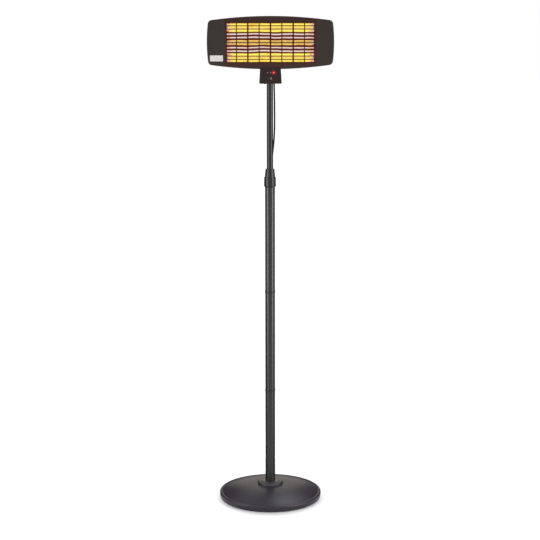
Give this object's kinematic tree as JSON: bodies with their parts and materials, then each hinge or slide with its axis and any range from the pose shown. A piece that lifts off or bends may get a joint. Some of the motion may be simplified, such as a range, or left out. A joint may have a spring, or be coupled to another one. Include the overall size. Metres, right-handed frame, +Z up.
{
  "type": "patio heater",
  "caption": "Free-standing electric patio heater: a wide tilting head with glowing quartz tubes behind a wire guard, on a sliding mast over a round weighted base.",
  "frame": {"origin": "on the floor, under the middle of the round base", "axes": "+Z up along the pole, the glowing front faces -Y, +X to the right as seen from the front"},
  "size_m": [0.5046, 0.715, 2.0142],
  "materials": {
    "base_paint": "fine satin powder coat",
    "tube_paint": "satin powder coat",
    "cast_weight": "rough",
    "foot_rubber": "matte",
    "zinc_steel": "zinc plated",
    "dark_plastic": "fine satin",
    "joint_plastic": "satin",
    "nylon": "natural",
    "head_coat": "fine satin",
    "guard_coat": "satin",
    "quartz": "clear",
    "hot_wire": "glowing",
    "ceramic": "fired",
    "bright_sheet": "polished",
    "aluminium": "mill",
    "badge": "brushed",
    "box_plastic": "fine satin",
    "mast_paint": "satin powder coat",
    "lens_dark": "clear",
    "lens_red": "lit",
    "button_plastic": "satin",
    "sensor_plastic": "translucent",
    "board_green": "satin",
    "relay_plastic": "moulded",
    "terminal_plastic": "moulded",
    "switch_plastic": "moulded",
    "lead_silicone": "matte",
    "cord_rubber": "matte",
    "tie_plastic": "matte",
    "plug_plastic": "matte",
    "pin_metal": "nickel plated"
  },
  "bodies": {
    "stand": {"base_cover": "base_paint", "base_weight": "cast_weight", "base_plate": "base_paint", "rubber_feet": "foot_rubber", "base_bolt": "zinc_steel", "base_washer": "zinc_steel", "pole_socket": "zinc_steel", "socket_trim": "dark_plastic", "lower_tube": "tube_paint", "lower_joint": "joint_plastic", "middle_tube": "tube_paint", "upper_joint": "joint_plastic", "top_tube": "tube_paint", "collar_socket": "joint_plastic", "collet": "nylon", "cord_clips": "joint_plastic", "cord_mast_stretch": "cord_rubber", "cord_pole_run": "cord_rubber", "cord_hank": "cord_rubber", "cord_tail": "cord_rubber", "hank_tie": "tie_plastic", "plug_body": "plug_plastic", "plug_pins": "pin_metal"},
    "lock_nut": {"lock_nut": "joint_plastic"},
    "tilt_knob": {"tilt_knob": "joint_plastic"},
    "power_button": {"power_button": "button_plastic"},
    "mast": {"upper_tube": "mast_paint", "mast_guide": "nylon", "tilt_knuckle": "tube_paint", "cord_head_stretch": "cord_rubber"},
    "head": {"tilt_bracket": "tube_paint", "bracket_screws": "zinc_steel", "bracket_nuts": "zinc_steel", "tilt_bolt": "zinc_steel", "front_bezel": "head_coat", "rear_housing": "head_coat", "housing_screws": "zinc_steel", "badge_plate": "badge", "wire_guard": "guard_coat", "quartz_tubes": "quartz", "heating_coils": "hot_wire", "ceramic_holders": "ceramic", "reflector": "bright_sheet", "reflector_cheeks": "aluminium", "control_box_front": "box_plastic", "control_box_back": "box_plastic", "box_screws": "zinc_steel", "indicator_lenses": "lens_dark", "lit_indicator": "lens_red", "button_switch": "switch_plastic", "sensor_window": "sensor_plastic", "control_board": "board_green", "relays": "relay_plastic", "terminal_block": "terminal_plastic", "tip_over_switch": "switch_plastic", "thermal_cutout": "aluminium", "blanking_plug": "joint_plastic", "heater_leads": "lead_silicone", "cord_gland": "switch_plastic", "strain_relief": "cord_rubber"}
  },
  "joints": [
    {"name": "mast_slide", "type": "slide", "parent": "stand", "child": "mast", "axis": [0, 0, 1], "range_m": [-0.3, 0], "deforming": ["cord_mast_stretch"]},
    {"name": "lock_nut_twist", "type": "hinge", "parent": "stand", "child": "lock_nut", "pos_m": [0, 0, 1.383], "axis": [0, 0, 1], "range_deg": [0, 90]},
    {"name": "head_tilt", "type": "hinge", "parent": "mast", "child": "head", "pos_m": [0, 0, 1.7973], "axis": [1, 0, 0], "range_deg": [-10, 30], "deforming": ["cord_head_stretch"]},
    {"name": "tilt_knob_turn", "type": "hinge", "parent": "head", "child": "tilt_knob", "pos_m": [0.0215, 0, 1.7973], "axis": [1, 0, 0], "range_deg": [0, 360]},
    {"name": "power_button_press", "type": "slide", "parent": "head", "child": "power_button", "axis": [0, 1, 0], "range_m": [0, 0.0015], "stiffness_N_per_m": 600, "springref_m": -0.001}
  ]
}
